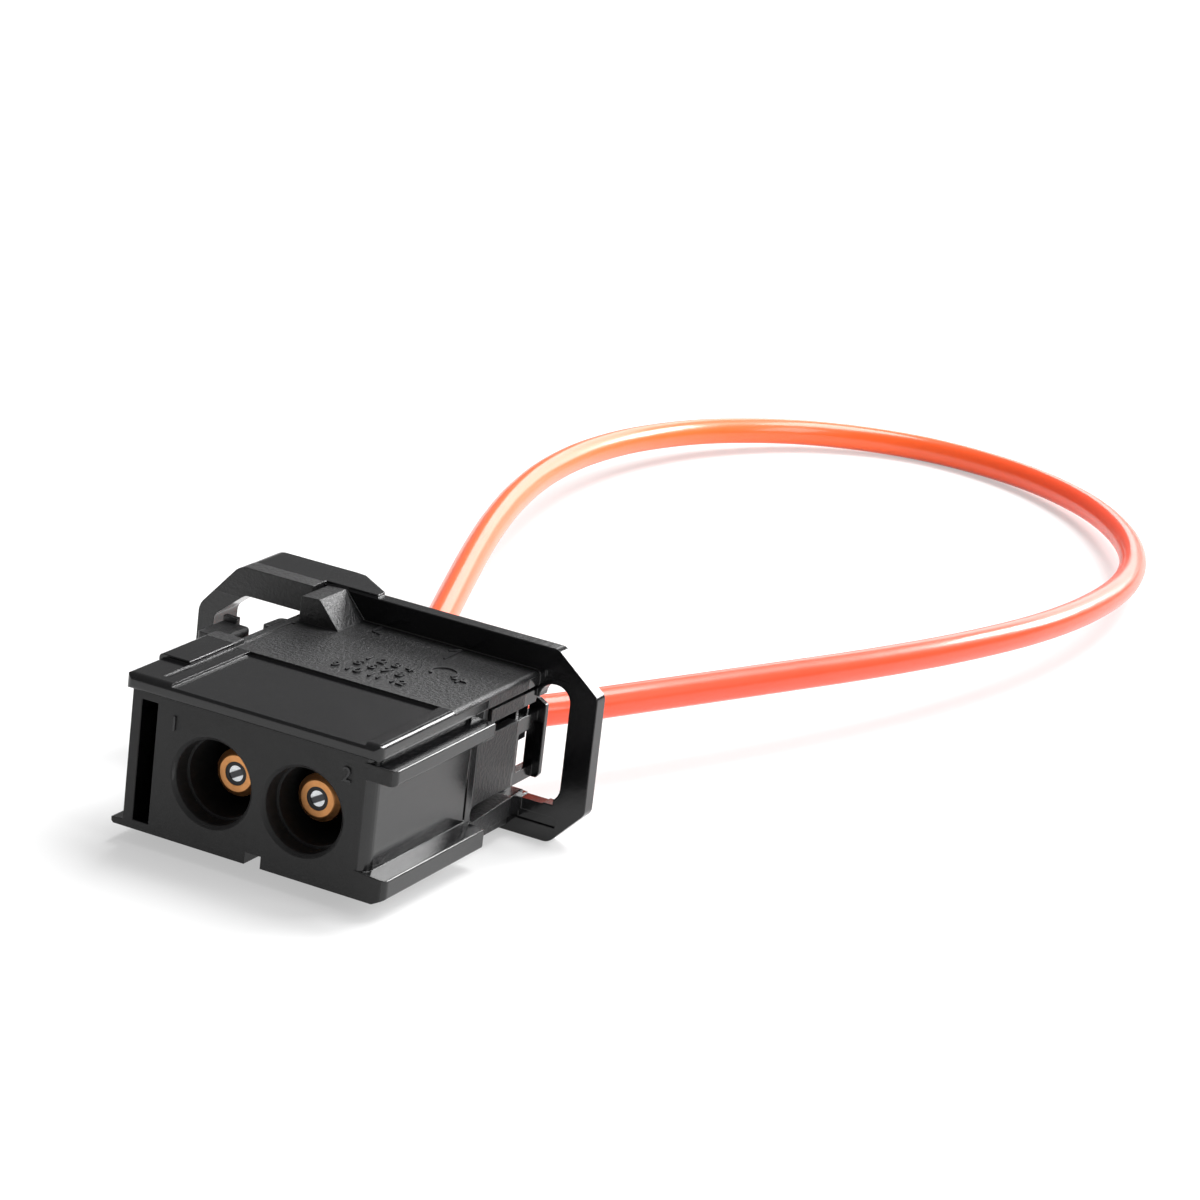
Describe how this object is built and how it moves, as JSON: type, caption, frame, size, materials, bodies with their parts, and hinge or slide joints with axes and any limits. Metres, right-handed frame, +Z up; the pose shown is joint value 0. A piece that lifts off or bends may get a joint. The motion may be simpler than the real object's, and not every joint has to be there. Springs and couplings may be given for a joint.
{
  "type": "fibre loopback plug",
  "caption": "Black two-way plug for plastic optical fibre whose contacts are joined by an orange jacketed loop.",
  "frame": {"origin": "on the surface below the middle of the housing, with the loop left out", "axes": "+X across the plug to the right as seen from its mating face, +Y from the mating face towards the loop, +Z up"},
  "size_m": [0.0535, 0.1332, 0.014],
  "materials": {
    "housing_black": "moulded, partly polished",
    "ferrule_metal": "turned",
    "inner_black": "smooth",
    "fibre_clear": "polished end",
    "jacket_orange": "satin gloss"
  },
  "bodies": {
    "root": {"housing": "housing_black", "ferrule_left": "ferrule_metal", "ferrule_right": "ferrule_metal", "inner_jacket_left": "inner_black", "inner_jacket_right": "inner_black", "fibre_core_left": "fibre_clear", "fibre_core_right": "fibre_clear", "loop": "jacket_orange"}
  },
  "joints": []
}
